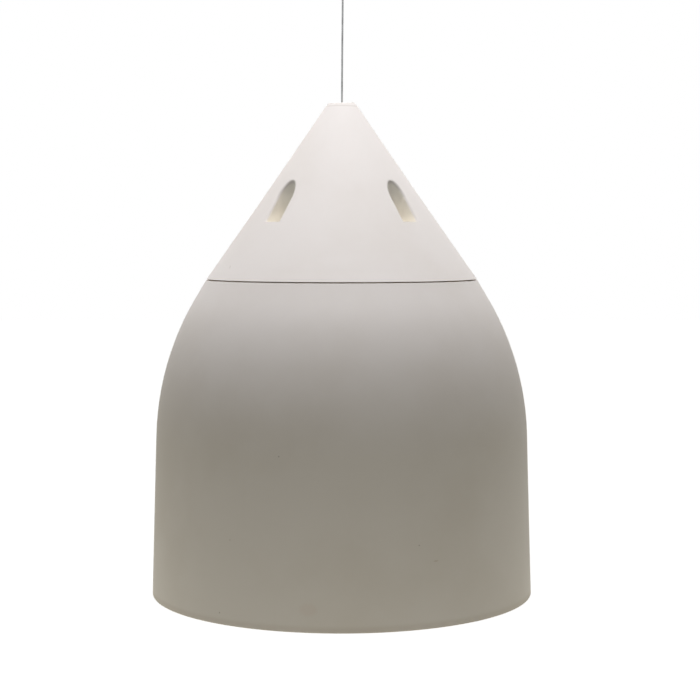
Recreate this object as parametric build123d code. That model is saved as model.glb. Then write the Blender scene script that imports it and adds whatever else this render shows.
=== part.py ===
from build123d import *
import os
from math import asin, atan2, cos, degrees, hypot, pi, radians, sin, tan

# A pendant loudspeaker: a moulded bell that carries the drive units, closed above by a conical
# cover, hung by one thin wire rope. Sizes are in millimetres. Every height is measured up from
# the rim of the bell, and the part's origin is the eye at the top of the rope.

# Bell housing
wall_draft = 1.75              # degrees from upright, so that the moulding leaves its tool
shoulder_angle = 30.6          # degrees from upright, just below the seam
shoulder_bend = 228.0          # radius that joins the wall to the shoulder
shoulder_run = 44.9            # how much narrower the seam is than the rim
seam_height = 255.0
body_wall = 4.0
rim_rounding = 0.8
deck_drop = 11.0               # from the seam down to the deck under the cover
deck_thickness = 4.0
spigot_height = 6.0            # lip that centres the cover
spigot_wall = 2.4
spigot_base = 5.0              # solid ring below the lip

# Conical cover
seam_gap = 0.9
cap_step = 0.4                 # how far the cover's foot stands in from the bell
cap_height = 139.1
cap_hollow = 0.4               # how far the side of the cone bows inwards
cap_wall = 3.0
cap_top_plate = 3.5
cap_fit = 0.35                 # gap between the lip and the cover

# Pockets for the cover's four screws
pocket_count = 4
pocket_first_angle = 45.0
pocket_inset = 47.6            # from the cover's foot in to the middle of a pocket
pocket_sill_reach = 15.88      # from the middle of a pocket out to the edge of its floor
pocket_radius = 7.5
pocket_wall = 2.5
pocket_rounding = 2.2
cap_screw_tube_radius = 6.5
cap_screw_rise = 26.0          # from the deck up to the end of the cover's screw tubes
cap_screw_grip = 8.0           # distance above the deck at which the screws end
post_radius = 5.5
post_gap = 0.3

# Grommet in the top of the cover
grommet_flange = 2.4
grommet_overhang = 2.65        # flange that stands out past the stem
grommet_inset = 0.3
grommet_edge = 1.0
grommet_nib_radius = 1.4       # key on the flange, to the right of the rope
grommet_nib_height = 0.7
grommet_nib_margin = 0.2       # from the nib to the rounded edge
grommet_web = 1.4              # between the two holes
grommet_rim = 1.0
grommet_fit = 0.1
grommet_lip = 2.0
grommet_lip_radius = 11.4
cable_hole_radius = 3.2
rope_hole_radius = 1.2

# Fasteners
screw_radius = 1.95            # M4
screw_head_radius = 3.8
screw_head = 2.5
small_screw_radius = 1.45      # M3
small_head_radius = 2.8
small_head = 1.9
screw_clearance = 0.25
thread_gap = 0.05
counterbore_gap = 0.5
head_rounding = 0.45           # share of the head's height
socket_across = 2.5
socket_depth = 1.4
blind_gap = 1.0                # depth left past the end of a screw
cut_past = 1.0                 # how far a cut runs past the face that it opens

# Grille, scrim and baffle
grille_inset = 1.5
grille_sheet = 1.2
grille_gap = 1.0               # from the wall to the grille's skirt
grille_hem = 9.0               # turned in, flat on the baffle
grille_margin = 6.0            # unpierced band round the holes
hex_hole = 19.0                # across the flats
hex_pitch = 23.6
scrim_thickness = 0.5
scrim_gap = 0.6
baffle_front = 22.0
baffle_thickness = 6.0
baffle_fit = 0.5
gasket_thickness = 2.0
gasket_inset = 1.0
ledge_thickness = 5.0
ledge_gap = 2.0                # from the ports' flanges to the ledge
ledge_reach = 19.0             # from the ledge's inner edge to the outside of the rim
baffle_screw_count = 6
baffle_screw_inset = 8.5       # from the ledge's inner edge to the screws
boss_radius = 5.5
boss_height = 20.0
baffle_screw_length = 18.0
holder_count = 6               # small magnets that hold the grille's hem
holder_radius = 3.5
holder_thickness = 3.0
holder_fit = 0.15

# Bass ports
port_gap = 6.0                 # from the ring round the woofer's cutout
port_radius = 16.0
port_wall = 2.0
port_flange = 2.0
port_length = 90.0
port_flare = 4.0
port_fit = 0.2
port_angles = {"front": 270.0, "rear": 90.0}

# Woofer, with depths measured back from the front of the baffle
woofer_seat = 9.0              # width of the flange outside the cutout
flange_fit = 1.0
basket_sheet = 1.6
woofer_gasket_thickness = 1.6
cutout_fit = 2.3
cutout_collar = 14.5           # width of the thick ring behind the cutout
cutout_collar_height = 8.5
woofer_hole_count = 6          # two of them take the screws of the tweeter's bridge
woofer_screw_length = 9.0
basket_shelf_radius = 48.6
basket_shelf_depth = 40.0
basket_well_radius = 38.4
basket_floor_depth = 56.0
basket_eye = 3.0               # from the coil to the edge of the basket's floor
window_count = 6
window_angle = 38.0
window_low = 10.0
window_high = 34.0
cone_rim_radius = 57.5
cone_rim_width = 3.4
cone_wall = 0.9
cone_neck_depth = 26.0
glue_gap = 0.3
surround_sheet = 1.0
surround_roll = 6.6            # radius at the middle of its sheet
surround_land = 3.6            # width of each glued edge
coil_radius = 13.2
coil_former_wall = 0.4
coil_winding_wall = 0.7
coil_winding_length = 12.0
coil_overhang = 1.5            # former that stands out past the winding
coil_glue = 0.1
air_gap = 0.5
dust_cap_radius = 19.0
dust_cap_rise = 6.0
dust_cap_wall = 0.6
top_plate_radius = 42.0
plate_thickness = 6.0
magnet_radius = 45.0
magnet_bore = 21.0
magnet_thickness = 15.0
yoke_bevel = 2.0
spider_sheet = 0.8
spider_waves = 4
spider_wave_height = 2.2
spider_collar = 2.0
spider_inset = 1.0
tag_strip_width = 20.0
tag_strip_height = 16.0
tag_strip_sheet = 1.6
tag_strip_gap = 0.3
tag_strip_rise = 2.0
tag_size = (5.0, 3.0, 0.8)
tag_offset = 6.0

# Tweeter on its bridge
bridge_height = 5.0
bridge_sheet = 2.5
bridge_width = 15.0
bridge_leg = 5.6
bridge_ring_radius = 21.0
bridge_screw_length = 24.0
tweeter_radius = 15.3
tweeter_fit = 0.2
horn_front_gap = 1.5           # from the dome to the horn's front edge
horn_back_gap = 0.5
dome_radius = 11.0
dome_rise = 2.4
dome_wall = 0.5
tweeter_motor_radius = 16.8
tweeter_motor_length = 12.0
tweeter_motor_rounding = 1.5

# Transformer, hung below the deck
core_stack = 28.0
window_width = 9.5             # the laminations are cut with no waste, so this sets the others
winding_gap = 0.3
winding_overhang = 8.5
winding_rounding = 4.0
transformer_x = 0.0
strap_sheet = 1.2
strap_width = 20.0
strap_foot = 11.0
strap_fit = 0.1
deck_skin = 0.8                # deck left above a blind hole

# Crossover board, on pillars below the deck
board_inset = 30.1             # from the seam's radius in to the middle of the board
board_length = 68.0
board_width = 50.0
board_thickness = 1.6
pillar_height = 10.0
pillar_radius = 3.2
pillar_inset = 4.5
inductor_place = (-14.0, 7.0)
inductor_radius = 14.0
inductor_core_radius = 4.5
inductor_height = 15.0
inductor_cheek = 1.5
capacitor_places = ((10.0, 8.0), (25.0, 8.0))
capacitor_radius = 7.0
capacitor_height = 20.0
capacitor_rounding = 0.8
capacitor_groove = 0.6
capacitor_groove_width = 1.2
capacitor_groove_drop = 4.0
resistor_place = (6.0, -14.0)
resistor_size = (38.0, 9.0, 9.0)
resistor_bevel = 0.8

# Tap selector on the deck
selector_y = -70.0
selector_body_radius = 13.0
selector_body_length = 15.0
bush_radius = 4.7
bush_fit = 0.2
bush_rise = 7.0
nut_across = 13.0
nut_thickness = 2.5
shaft_radius = 3.0
shaft_fit = 0.05
shaft_rise = 16.0
shaft_floor = 3.0
knob_radius = 11.0
knob_height = 11.0
knob_gap = 1.0
knob_fit = 0.05
knob_bevel = 1.2
knob_flutes = 12
flute_radius = 1.3
pointer_width = 1.6

# Line terminals on the deck
terminal_y = 66.0
terminal_pitch = 10.0
terminal_ways = 4
terminal_depth = 22.0
terminal_height = 13.0
terminal_margin = 3.0
terminal_bevel = 2.0
terminal_bore = 1.8
terminal_bore_length = 9.0
terminal_bore_height = 5.2
terminal_screw_y = 4.0
terminal_screw_height = 9.1
terminal_screw_head = 2.4
terminal_slot_width = 0.8
terminal_slot_depth = 1.0
clamp_screw_radius = 2.6
lead_hole_radius = 3.0
lead_hole_y = 62.0

# Hanger and wire rope
hanger_width = 25.0
hanger_sheet = 2.5
hanger_height = 18.0
hanger_top_half = 22.0
hanger_leg_lean = 4.0
hanger_foot = 20.0
hanger_bolt_inset = 11.0       # from the inside of a leg's foot to its bolt
bolt_radius = 2.45             # M5
bolt_head_across = 8.4
bolt_head = 3.5
bolt_length = 11.5
safety_hole_radius = 3.5
safety_hole_y = 13.0
rope_radius = 0.8
rope_fit = 0.1
rope_tail = 1.0
stop_radius = 3.0
stop_length = 10.0
stop_bevel = 0.6
rope_rise = 120.0              # from the cover's top to the middle of the eye, the part's origin
eye_rope_radius = 9.4
eye_corners = 6
ferrule_drop = 31.0            # from the middle of the eye
ferrule_length = 10.0
ferrule_half_width = 3.4
ferrule_half_depth = 2.3
strand_offset = 0.9
strand_end = 3.0               # length of the rope's end that shows under the ferrule
throat_drop = 14.0
thimble_sheet = 0.8
thimble_half_depth = 1.7
thimble_fit = 0.15

# Soft lining
wadding_drop = 56.0            # from the deck's underside
wadding_port_gap = 8.0         # above the ends of the ports
wadding_depth = 43.0           # from the rim's radius in to the wadding
wadding_rounding = 7.0
wadding_gap = 0.3

# Inner leads, from one soldered end to the other
thick_lead = 2.0
thin_lead = 1.5
fine_lead = 1.1
baffle_lead_hole = (94.0, -11.0)
baffle_lead_hole_radius = 2.0
input_lead_route = (
    (0, 62, 244), (0, 62, 222), (2, 52, 209), (-4, 38, 205), (-4, 22.6, 205),
)
selector_lead_route = (
    (-5, -70, 225), (-5, -70, 212), (-3, -60, 203), (4, -42, 206), (4, -22.6, 206),
)
crossover_lead_route = (
    (6, -22.6, 214), (6, -37, 214), (22, -43, 210), (40, -36, 206), (52, -24, 208),
    (54, -16, 216), (54, -16, 228.4),
)
woofer_lead_routes = (
    ((84, -2, 228.4), (84, -2, 206), (83, 3, 166), (81, 7, 124), (77, 7, 84), (71, 6, 60), (71, 6, 42.9)),
    ((84, -6, 228.4), (84, -6, 206), (83, -7, 166), (81, -9, 124), (77, -7.5, 84), (71, -6, 60),
     (71, -6, 42.9)),
)
tweeter_lead_route = (
    (89, -4, 228.4), (89, -4, 205), (92, -9, 165), (94, -13, 125), (95, -11.5, 85), (94, -11, 48),
    (94, -11, 9), (72, -11, 9), (45, -7, 9), (24, 0, 9), (17.1, 0, 9),
)

# Radii that follow from the sizes above, from the woofer's cone out to the rim
basket_throat_radius = cone_rim_radius + 2 * surround_roll + surround_sheet / 2
cutout_radius = basket_throat_radius + cutout_fit
flange_radius = cutout_radius + woofer_seat
woofer_screw_circle = cutout_radius + woofer_seat / 2
port_circle = cutout_radius + cutout_collar + port_gap + port_radius + port_wall
ledge_inner_radius = port_circle + port_radius + port_wall + port_flare + ledge_gap
baffle_screw_circle = ledge_inner_radius + baffle_screw_inset
rim_radius = ledge_inner_radius + ledge_reach
wadding_inner_radius = rim_radius - wadding_depth
seam_radius = rim_radius - shoulder_run
cap_base_radius = seam_radius - cap_step
pocket_centre_radius = cap_base_radius - pocket_inset
board_x = seam_radius - board_inset
cable_hole_offset = rope_hole_radius + grommet_web + cable_hole_radius
grommet_stem_radius = cable_hole_offset + cable_hole_radius + grommet_rim
grommet_flange_radius = grommet_stem_radius + grommet_overhang
cap_top_radius = grommet_flange_radius + grommet_inset

# Lengths and levels that follow
core_width = 6 * window_width
core_height = 5 * window_width
core_leg = 2 * window_width
hanger_bolt_circle = hanger_top_half + hanger_leg_lean + hanger_bolt_inset
cap_base_height = seam_height + seam_gap
cap_top_height = cap_base_height + cap_height
cap_hollow_top = cap_top_height - cap_top_plate
cap_slope = cap_height / (cap_base_radius - cap_top_radius)
grommet_top_radius = grommet_flange_radius - grommet_flange / cap_slope
grommet_nib_x = grommet_top_radius - grommet_edge - grommet_nib_radius + grommet_nib_margin
pocket_floor_height = cap_base_height + (pocket_inset - pocket_sill_reach) * cap_slope
cap_screw_seat = pocket_floor_height - small_head - counterbore_gap
deck_height = seam_height - deck_drop
deck_under = deck_height - deck_thickness
cap_screw_tube_end = deck_height + cap_screw_rise
hanger_top_height = deck_height + hanger_height
eye_height = cap_top_height + rope_rise
throat_height = eye_height - throat_drop
ferrule_low = eye_height - ferrule_drop
wadding_high = deck_under - wadding_drop
wadding_low = baffle_front + port_length + wadding_port_gap
baffle_back = baffle_front + baffle_thickness
baffle_seat = baffle_front + screw_head + counterbore_gap
ledge_low = baffle_back + gasket_thickness
recess_floor = baffle_front + basket_sheet + woofer_gasket_thickness
shelf_height = baffle_front + basket_shelf_depth
basket_floor = baffle_front + basket_floor_depth
plate_low = basket_floor + basket_sheet
magnet_low = plate_low + plate_thickness
yoke_low = magnet_low + magnet_thickness
yoke_high = yoke_low + plate_thickness
gap_middle = plate_low + plate_thickness / 2
cone_rim_height = baffle_front + glue_gap
bridge_back = bridge_height + bridge_sheet
bridge_seat = bridge_height + small_head
board_low = deck_under - pillar_height - board_thickness
core_low = deck_under - core_height
core_middle = deck_under - core_height / 2
knob_low = deck_height + bush_rise + knob_gap
stop_low = hanger_top_height - hanger_sheet - stop_length
grommet_top = cap_top_height + grommet_flange
cap_lean = atan2(cap_base_radius - cap_top_radius, cap_height)
cap_inner_foot = cap_base_radius - cap_wall / cos(cap_lean)
basket_lean = atan2(basket_throat_radius - basket_shelf_radius, basket_shelf_depth)


# Small helpers

def upright(radius, low, high, x=0.0, y=0.0):
    """A round bar from one height to another."""
    bar = Cylinder(radius, high - low, align=(Align.CENTER, Align.CENTER, Align.MIN))
    return Pos(x, y, low) * bar


def ring(inner, outer, low, high):
    """A flat ring about the middle of the speaker."""
    return upright(outer, low, high) - upright(inner, low - cut_past, high + cut_past)


def block(length, width, low, high, x=0.0, y=0.0):
    """A box from one height to another."""
    box = Box(length, width, high - low, align=(Align.CENTER, Align.CENTER, Align.MIN))
    return Pos(x, y, low) * box


def spun(outline):
    """An outline of radii and heights, turned about the upright axis."""
    return revolve(Plane.XZ * outline, axis=Axis.Z)


def spun_points(*points):
    """A straight-sided outline, turned about the upright axis."""
    return spun(make_face(Polyline(*points, close=True)))


def around(shape, count, first=0.0):
    """Copies of a shape at even angles about the upright axis."""
    return [Rot(0, 0, first + 360.0 * n / count) * shape for n in range(count)]


def joined(shapes):
    """One shape made of several."""
    total = shapes[0]
    for shape in shapes[1:]:
        total = total + shape
    return total


def group(shapes):
    """Several separate solids kept as one node."""
    return Compound(children=list(shapes))


def pan_screw(radius, head_radius, head, length, seat, x=0.0, y=0.0, up=True):
    """A pan-head screw whose head rests at a height and whose shank runs up or down from it."""
    cup = upright(head_radius, -head, 0)
    cup = fillet(cup.edges().group_by(Axis.Z)[0], head * head_rounding)
    socket = Pos(0, 0, -head) * extrude(RegularPolygon(socket_across / 2, 6), socket_depth)
    screw = cup + upright(radius, 0, length) - socket
    return Pos(x, y, seat) * (screw if up else Rot(180, 0, 0) * screw)


def hex_head(low, high, x, y, across):
    """A six-sided head or nut from one height to another."""
    return Pos(x, y, low) * extrude(RegularPolygon(across / 2, 6, major_radius=False), high - low)


def save(name, shape):
    """Writes one piece, moved from heights above the rim to the frame of the eye."""
    solids = list((Pos(0, 0, -eye_height) * shape).solids())
    export_step(solids[0] if len(solids) == 1 else group(solids), f"parts/{name}.step")


# Bell housing

def bell_radius(height, inset=0.0):
    """Radius of the straight part of the bell's wall at a height, moved in by an inset."""
    return rim_radius - inset / cos(radians(wall_draft)) - height * tan(radians(wall_draft))


def bell(inset, low, high):
    """What the bell's surface encloses between two heights, moved in by an inset."""
    draft, lean = radians(wall_draft), radians(shoulder_angle)
    foot = rim_radius - inset / cos(draft)
    top = seam_radius - inset / cos(lean)
    bend_height = (top + seam_height * tan(lean) - foot) / (tan(lean) - tan(draft))
    bend = (foot - bend_height * tan(draft), bend_height)
    side = FilletPolyline((foot, 0), bend, (top, seam_height), radius=shoulder_bend - inset)
    ends = Polyline((top, seam_height), (0, seam_height), (0, 0), (foot, 0))
    return spun(make_face(side + ends)) & upright(2 * rim_radius, low, high)


def spigot():
    """The lip that stands inside the foot of the cover, on its solid ring."""
    foot = cap_inner_foot - cap_fit
    tip = foot - (spigot_height - seam_gap) * tan(cap_lean) - cap_fit
    wall_middle = seam_radius - body_wall / 2
    base = seam_height - spigot_base
    return spun_points(
        (foot - spigot_wall, base),
        (wall_middle + spigot_base * tan(radians(shoulder_angle)), base),
        (wall_middle, seam_height),
        (foot, seam_height),
        (foot, cap_base_height),
        (tip, seam_height + spigot_height),
        (tip - spigot_wall, seam_height + spigot_height),
        (foot - spigot_wall, seam_height),
    )


def enclosure_body():
    shell = bell(0, 0, seam_height)
    shell = fillet(shell.edges().filter_by(GeomType.CIRCLE).group_by(Axis.Z)[0], rim_rounding)
    shell = shell - bell(body_wall, -cut_past, deck_under)
    shell = shell - bell(body_wall, deck_height, seam_height + cut_past)
    ledge = bell(body_wall / 2, ledge_low, ledge_low + ledge_thickness)
    ledge = ledge - upright(ledge_inner_radius, 0, seam_height)
    boss = upright(boss_radius, ledge_low, ledge_low + boss_height, baffle_screw_circle)
    post_top = cap_screw_tube_end - post_gap
    post = upright(post_radius, deck_height - cut_past, post_top, pocket_centre_radius)
    pillars = [
        upright(pillar_radius, deck_under - pillar_height, deck_under + cut_past, x, y)
        for x, y in board_corners()
    ]
    body = joined(
        [shell, spigot(), ledge]
        + around(boss, baffle_screw_count)
        + around(post, pocket_count, pocket_first_angle)
        + pillars
    )
    for hole in body_holes(post_top):
        body = body - hole
    return body


def body_holes(post_top):
    """Every drilled hole of the housing."""
    tapped = screw_radius + thread_gap
    boss_hole_end = baffle_seat + baffle_screw_length + blind_gap
    boss_hole = upright(tapped, ledge_low - cut_past, boss_hole_end, baffle_screw_circle)
    post_hole_end = deck_height + cap_screw_grip - blind_gap
    post_hole = upright(
        small_screw_radius + thread_gap, post_hole_end, post_top + cut_past, pocket_centre_radius
    )
    holes = around(boss_hole, baffle_screw_count) + around(post_hole, pocket_count, pocket_first_angle)
    through = (deck_under - cut_past, deck_height + cut_past)
    for y in (-hanger_bolt_circle, hanger_bolt_circle):
        holes.append(upright(bolt_radius + screw_clearance, *through, 0, y))
    holes.append(upright(bush_radius + bush_fit, *through, 0, selector_y))
    holes.append(upright(lead_hole_radius, *through, 0, lead_hole_y))
    pillar_end = deck_under - pillar_height
    for x, y in board_corners():
        holes.append(upright(small_screw_radius + thread_gap, pillar_end - cut_past, deck_under, x, y))
    strap_hole = (small_screw_radius + thread_gap, deck_under - cut_past, deck_height - deck_skin)
    holes += [upright(*strap_hole, x) for x in strap_screw_places()]
    return holes


# Conical cover

def cone_solid(inset, top):
    """The cover's cone with its side bowed inwards, moved in by a wall and cut at a height."""
    foot = cap_base_radius - inset / cos(cap_lean)
    tip = cap_top_radius - inset / cos(cap_lean)
    middle_radius = (foot + tip) / 2 - cap_hollow * cos(cap_lean)
    middle_height = (cap_base_height + cap_top_height) / 2 - cap_hollow * sin(cap_lean)
    side = ThreePointArc((foot, cap_base_height), (middle_radius, middle_height), (tip, cap_top_height))
    ends = Polyline((tip, cap_top_height), (0, cap_top_height), (0, cap_base_height), (foot, cap_base_height))
    return spun(make_face(side + ends)) & upright(rim_radius, cap_base_height - cut_past, top)


def channel(radius, low, high):
    """An upright channel, round towards the middle and open outwards."""
    reach = cap_base_radius - pocket_centre_radius
    round_end = upright(radius, low, high, pocket_centre_radius)
    return round_end + block(reach, 2 * radius, low, high, pocket_centre_radius + reach / 2)


def top_cap():
    outer = cone_solid(0, cap_top_height)
    hollow = cone_solid(cap_wall, cap_hollow_top)
    lining = channel(pocket_radius + pocket_wall, pocket_floor_height - pocket_wall, cap_top_height)
    tube = upright(cap_screw_tube_radius, cap_screw_tube_end, pocket_floor_height, pocket_centre_radius)
    linings = joined(around(lining + tube, pocket_count, pocket_first_angle)) & outer
    opening = channel(pocket_radius, pocket_floor_height, cap_top_height)
    shell = outer - hollow + linings - joined(around(opening, pocket_count, pocket_first_angle))
    shell = round_pockets(shell)
    sunk_radius = small_head_radius + counterbore_gap
    sunk = upright(sunk_radius, cap_screw_seat, pocket_floor_height + cut_past, pocket_centre_radius)
    shank = upright(
        small_screw_radius + screw_clearance, cap_screw_tube_end - cut_past, pocket_floor_height,
        pocket_centre_radius,
    )
    drilled = joined(around(sunk + shank, pocket_count, pocket_first_angle))
    top_hole = upright(
        grommet_stem_radius + grommet_fit, cap_hollow_top - cut_past, cap_top_height + cut_past
    )
    return shell - drilled - top_hole


def round_pockets(shell):
    """Rounds the mouths of the screw pockets, where they cut the outside of the cone."""
    mouths = []
    for edge in shell.edges():
        box, middle = edge.bounding_box(), edge.center()
        side_radius = cap_base_radius - (middle.Z - cap_base_height) / cap_slope
        on_side = pocket_centre_radius < hypot(middle.X, middle.Y) > side_radius - pocket_radius
        on_floor = abs(box.min.Z - pocket_floor_height) < thread_gap
        arch = box.size.Z > pocket_radius and min(box.size.X, box.size.Y) > pocket_radius / 4
        sill = box.size.Z < thread_gap and edge.geom_type == GeomType.CIRCLE
        if on_side and on_floor and (arch or sill):
            mouths.append(edge)
    return fillet(mouths, pocket_rounding)


def cap_screws():
    length = cap_screw_seat - deck_height - cap_screw_grip
    screw = pan_screw(
        small_screw_radius, small_head_radius, small_head, length, cap_screw_seat, pocket_centre_radius,
        up=False,
    )
    return group(around(screw, pocket_count, pocket_first_angle))


def cap_grommet():
    standing = (Align.CENTER, Align.CENTER, Align.MIN)
    flange = Pos(0, 0, cap_top_height) * Cone(
        grommet_flange_radius, grommet_top_radius, grommet_flange, align=standing
    )
    flange = fillet(flange.edges().group_by(Axis.Z)[-1], grommet_edge)
    nib = upright(grommet_nib_radius, cap_top_height, grommet_top + grommet_nib_height, grommet_nib_x)
    stem = upright(grommet_stem_radius, cap_hollow_top, cap_top_height)
    lip = upright(grommet_lip_radius, cap_hollow_top - grommet_lip, cap_hollow_top)
    lip = chamfer(lip.edges().group_by(Axis.Z)[0], grommet_lip / 2)
    body = flange + nib + stem + lip - upright(rope_hole_radius, 0, grommet_top + cut_past)
    return body - upright(cable_hole_radius, 0, grommet_top + cut_past, 0, cable_hole_offset)


# Grille and baffle

def grille_radius():
    """Outer radius of the grille's skirt."""
    return bell_radius(baffle_front, body_wall) - grille_gap


def hex_places():
    """Middles of the honeycomb's holes that lie inside the unpierced band."""
    field = grille_radius() - grille_margin
    rows = int(field / hex_pitch) + 2
    places = []
    for row in range(-rows, rows + 1):
        for column in range(-rows, rows + 1):
            x = hex_pitch * (column + 0.5 * (row % 2))
            y = hex_pitch * row * cos(radians(30))
            if hypot(x, y) + hex_hole / 2 <= field:
                places.append((x, y))
    return places


def grille():
    """A pierced pan whose skirt ends in a hem that lies on the baffle."""
    outer = grille_radius()
    pan = upright(outer, grille_inset, baffle_front)
    pan = fillet(pan.edges().group_by(Axis.Z)[0], grille_sheet)
    pan = pan - upright(outer - grille_sheet, grille_inset + grille_sheet, baffle_front - grille_sheet)
    pan = pan - upright(outer - grille_hem, grille_inset + grille_sheet, baffle_front + cut_past)
    hexagon = RegularPolygon(hex_hole / 2, 6, major_radius=False, rotation=30)
    holes = Sketch() + [Pos(x, y) * hexagon for x, y in hex_places()]
    return pan - Pos(0, 0, grille_inset - cut_past) * extrude(holes, grille_sheet + 2 * cut_past)


def grille_scrim():
    low = grille_inset + grille_sheet
    return upright(grille_radius() - grille_sheet - scrim_gap, low, low + scrim_thickness)


def grille_holders():
    holder = upright(holder_radius, baffle_front, baffle_front + holder_thickness, baffle_screw_circle)
    return group(around(holder, holder_count, 180.0 / holder_count))


def baffle():
    plate = upright(bell_radius(baffle_back, body_wall) - baffle_fit, baffle_front, baffle_back)
    collar = upright(cutout_radius + cutout_collar, baffle_back, recess_floor + cutout_collar_height)
    plate = plate + collar - upright(flange_radius + flange_fit, 0, recess_floor)
    plate = plate - upright(cutout_radius, 0, rim_radius)
    for angle in port_angles.values():
        hole = upright(port_radius + port_wall + port_fit, 0, rim_radius, port_circle)
        step_radius = port_radius + port_wall + port_flare + port_fit
        step = upright(step_radius, 0, baffle_front + port_flange, port_circle)
        plate = plate - Rot(0, 0, angle) * (hole + step)
    screw = upright(screw_radius + screw_clearance, 0, rim_radius, baffle_screw_circle)
    sunk = upright(screw_head_radius + counterbore_gap, 0, baffle_seat, baffle_screw_circle)
    plate = plate - joined(around(screw + sunk, baffle_screw_count))
    seat = upright(holder_radius + holder_fit, 0, baffle_front + holder_thickness, baffle_screw_circle)
    plate = plate - joined(around(seat, holder_count, 180.0 / holder_count))
    pilot_end = baffle_front + woofer_screw_length + blind_gap
    pilot = upright(small_screw_radius + thread_gap, 0, pilot_end, woofer_screw_circle)
    plate = plate - joined(around(pilot, woofer_hole_count))
    return plate - upright(baffle_lead_hole_radius, 0, rim_radius, *baffle_lead_hole)


def baffle_gasket():
    outer = bell_radius(ledge_low, body_wall) - baffle_fit
    band = ring(ledge_inner_radius + gasket_inset, outer, baffle_back, ledge_low)
    hole = upright(screw_radius + screw_clearance, 0, rim_radius, baffle_screw_circle)
    return band - joined(around(hole, baffle_screw_count))


def baffle_screws():
    screw = pan_screw(
        screw_radius, screw_head_radius, screw_head, baffle_screw_length, baffle_seat, baffle_screw_circle
    )
    return group(around(screw, baffle_screw_count))


def port_tube(angle):
    """A reflex port, its flared mouth let into the front of the baffle."""
    outer = port_radius + port_wall
    high = baffle_front + port_length
    tube = upright(outer, baffle_front, high)
    tube = tube + upright(outer + port_flare, baffle_front, baffle_front + port_flange)
    tube = tube - upright(port_radius, 0, high + cut_past)
    mouth = tube.edges().filter_by(GeomType.CIRCLE).group_by(Axis.Z)[0].sort_by(SortBy.RADIUS)[0]
    tube = fillet(mouth, port_flare)
    return Rot(0, 0, angle) * (Pos(port_circle, 0, 0) * tube)


# Woofer

def basket_outside(height):
    """Outer radius of the basket's leaning wall at a height."""
    lean_in = (height - baffle_front) * tan(basket_lean)
    return basket_throat_radius - lean_in + basket_sheet / cos(basket_lean)


def woofer_basket():
    """The pressed frame: flange, leaning wall with windows, shelf, well and floor."""
    front, shelf, floor, sheet = baffle_front, shelf_height, basket_floor, basket_sheet
    eye = coil_radius + basket_eye
    frame = spun_points(
        (flange_radius, front),
        (basket_throat_radius, front),
        (basket_shelf_radius, shelf),
        (basket_well_radius, shelf),
        (basket_well_radius, floor),
        (eye, floor),
        (eye, floor + sheet),
        (basket_well_radius + sheet, floor + sheet),
        (basket_well_radius + sheet, shelf + sheet),
        (basket_outside(shelf + sheet), shelf + sheet),
        (basket_outside(front + sheet), front + sheet),
        (flange_radius, front + sheet),
    )
    far_x = flange_radius
    far_y = flange_radius * tan(radians(window_angle / 2))
    wedge = make_face(Polyline((0, 0), (far_x, far_y), (far_x, -far_y), close=True))
    window = Pos(0, 0, front + window_low) * extrude(wedge, window_high - window_low)
    frame = frame - joined(around(window, window_count, 180.0 / window_count))
    return frame - woofer_screw_holes()


def woofer_screw_holes():
    """Clearance holes for every screw through the woofer's flange."""
    hole = upright(small_screw_radius + screw_clearance, 0, rim_radius, woofer_screw_circle)
    return joined(around(hole, woofer_hole_count))


def woofer_gasket():
    return ring(cutout_radius, flange_radius, baffle_front + basket_sheet, recess_floor) - woofer_screw_holes()


def bridge_turns():
    """Which of the woofer's screw places carry the bridge: two that face each other."""
    return (0, woofer_hole_count // 2)


def woofer_screws():
    screw = pan_screw(
        small_screw_radius, small_head_radius, small_head, woofer_screw_length, baffle_front,
        woofer_screw_circle,
    )
    places = around(screw, woofer_hole_count)
    return group(place for turn, place in enumerate(places) if turn not in bridge_turns())


def woofer_top_plate():
    return ring(coil_radius + coil_glue + coil_winding_wall + air_gap, top_plate_radius, plate_low, magnet_low)


def woofer_magnet():
    return ring(magnet_bore, magnet_radius, magnet_low, yoke_low)


def woofer_yoke():
    pole = upright(coil_radius - coil_former_wall - air_gap, plate_low, yoke_low)
    plate = upright(top_plate_radius, yoke_low, yoke_high)
    return chamfer(plate.edges().group_by(Axis.Z)[-1], yoke_bevel) + pole


def cone_front(radius):
    """Height of the front of the woofer's cone at a radius."""
    foot = cone_rim_radius - cone_rim_width
    return cone_rim_height + cone_neck_depth * (foot - radius) / (foot - coil_radius)


def woofer_cone():
    foot = cone_rim_radius - cone_rim_width
    neck = coil_radius + coil_glue
    thick = cone_wall / cos(atan2(cone_neck_depth, foot - coil_radius))
    return spun_points(
        (cone_rim_radius, cone_rim_height),
        (cone_rim_radius, cone_rim_height + cone_wall),
        (foot, cone_rim_height + thick),
        (neck, cone_front(neck) + thick),
        (neck, cone_front(neck)),
        (foot, cone_rim_height),
    )


def dome(radius, rise, wall, edge_height):
    """A thin dome with its edge at a height and its crown below it."""
    crown = edge_height - rise
    bend = (radius ** 2 + rise ** 2) / (2 * rise)
    half = radius / 2
    shallow = bend - (bend ** 2 - half ** 2) ** 0.5
    outer = ThreePointArc((0, crown), (half, crown + shallow), (radius, edge_height))
    inner = ThreePointArc((radius, edge_height + wall), (half, crown + shallow + wall), (0, crown + wall))
    side = Line((radius, edge_height), (radius, edge_height + wall))
    return spun(make_face(outer + side + inner + Line((0, crown + wall), (0, crown))))


def woofer_dust_cap():
    return dome(dust_cap_radius, dust_cap_rise, dust_cap_wall, cone_front(dust_cap_radius) - dust_cap_wall)


def voice_coil_former():
    top = gap_middle + coil_winding_length / 2 + coil_overhang
    low = cone_front(coil_radius)
    return ring(coil_radius - coil_former_wall, coil_radius, low, top)


def voice_coil_winding():
    inner = coil_radius + coil_glue
    half = coil_winding_length / 2
    return ring(inner, inner + coil_winding_wall, gap_middle - half, gap_middle + half)


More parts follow.
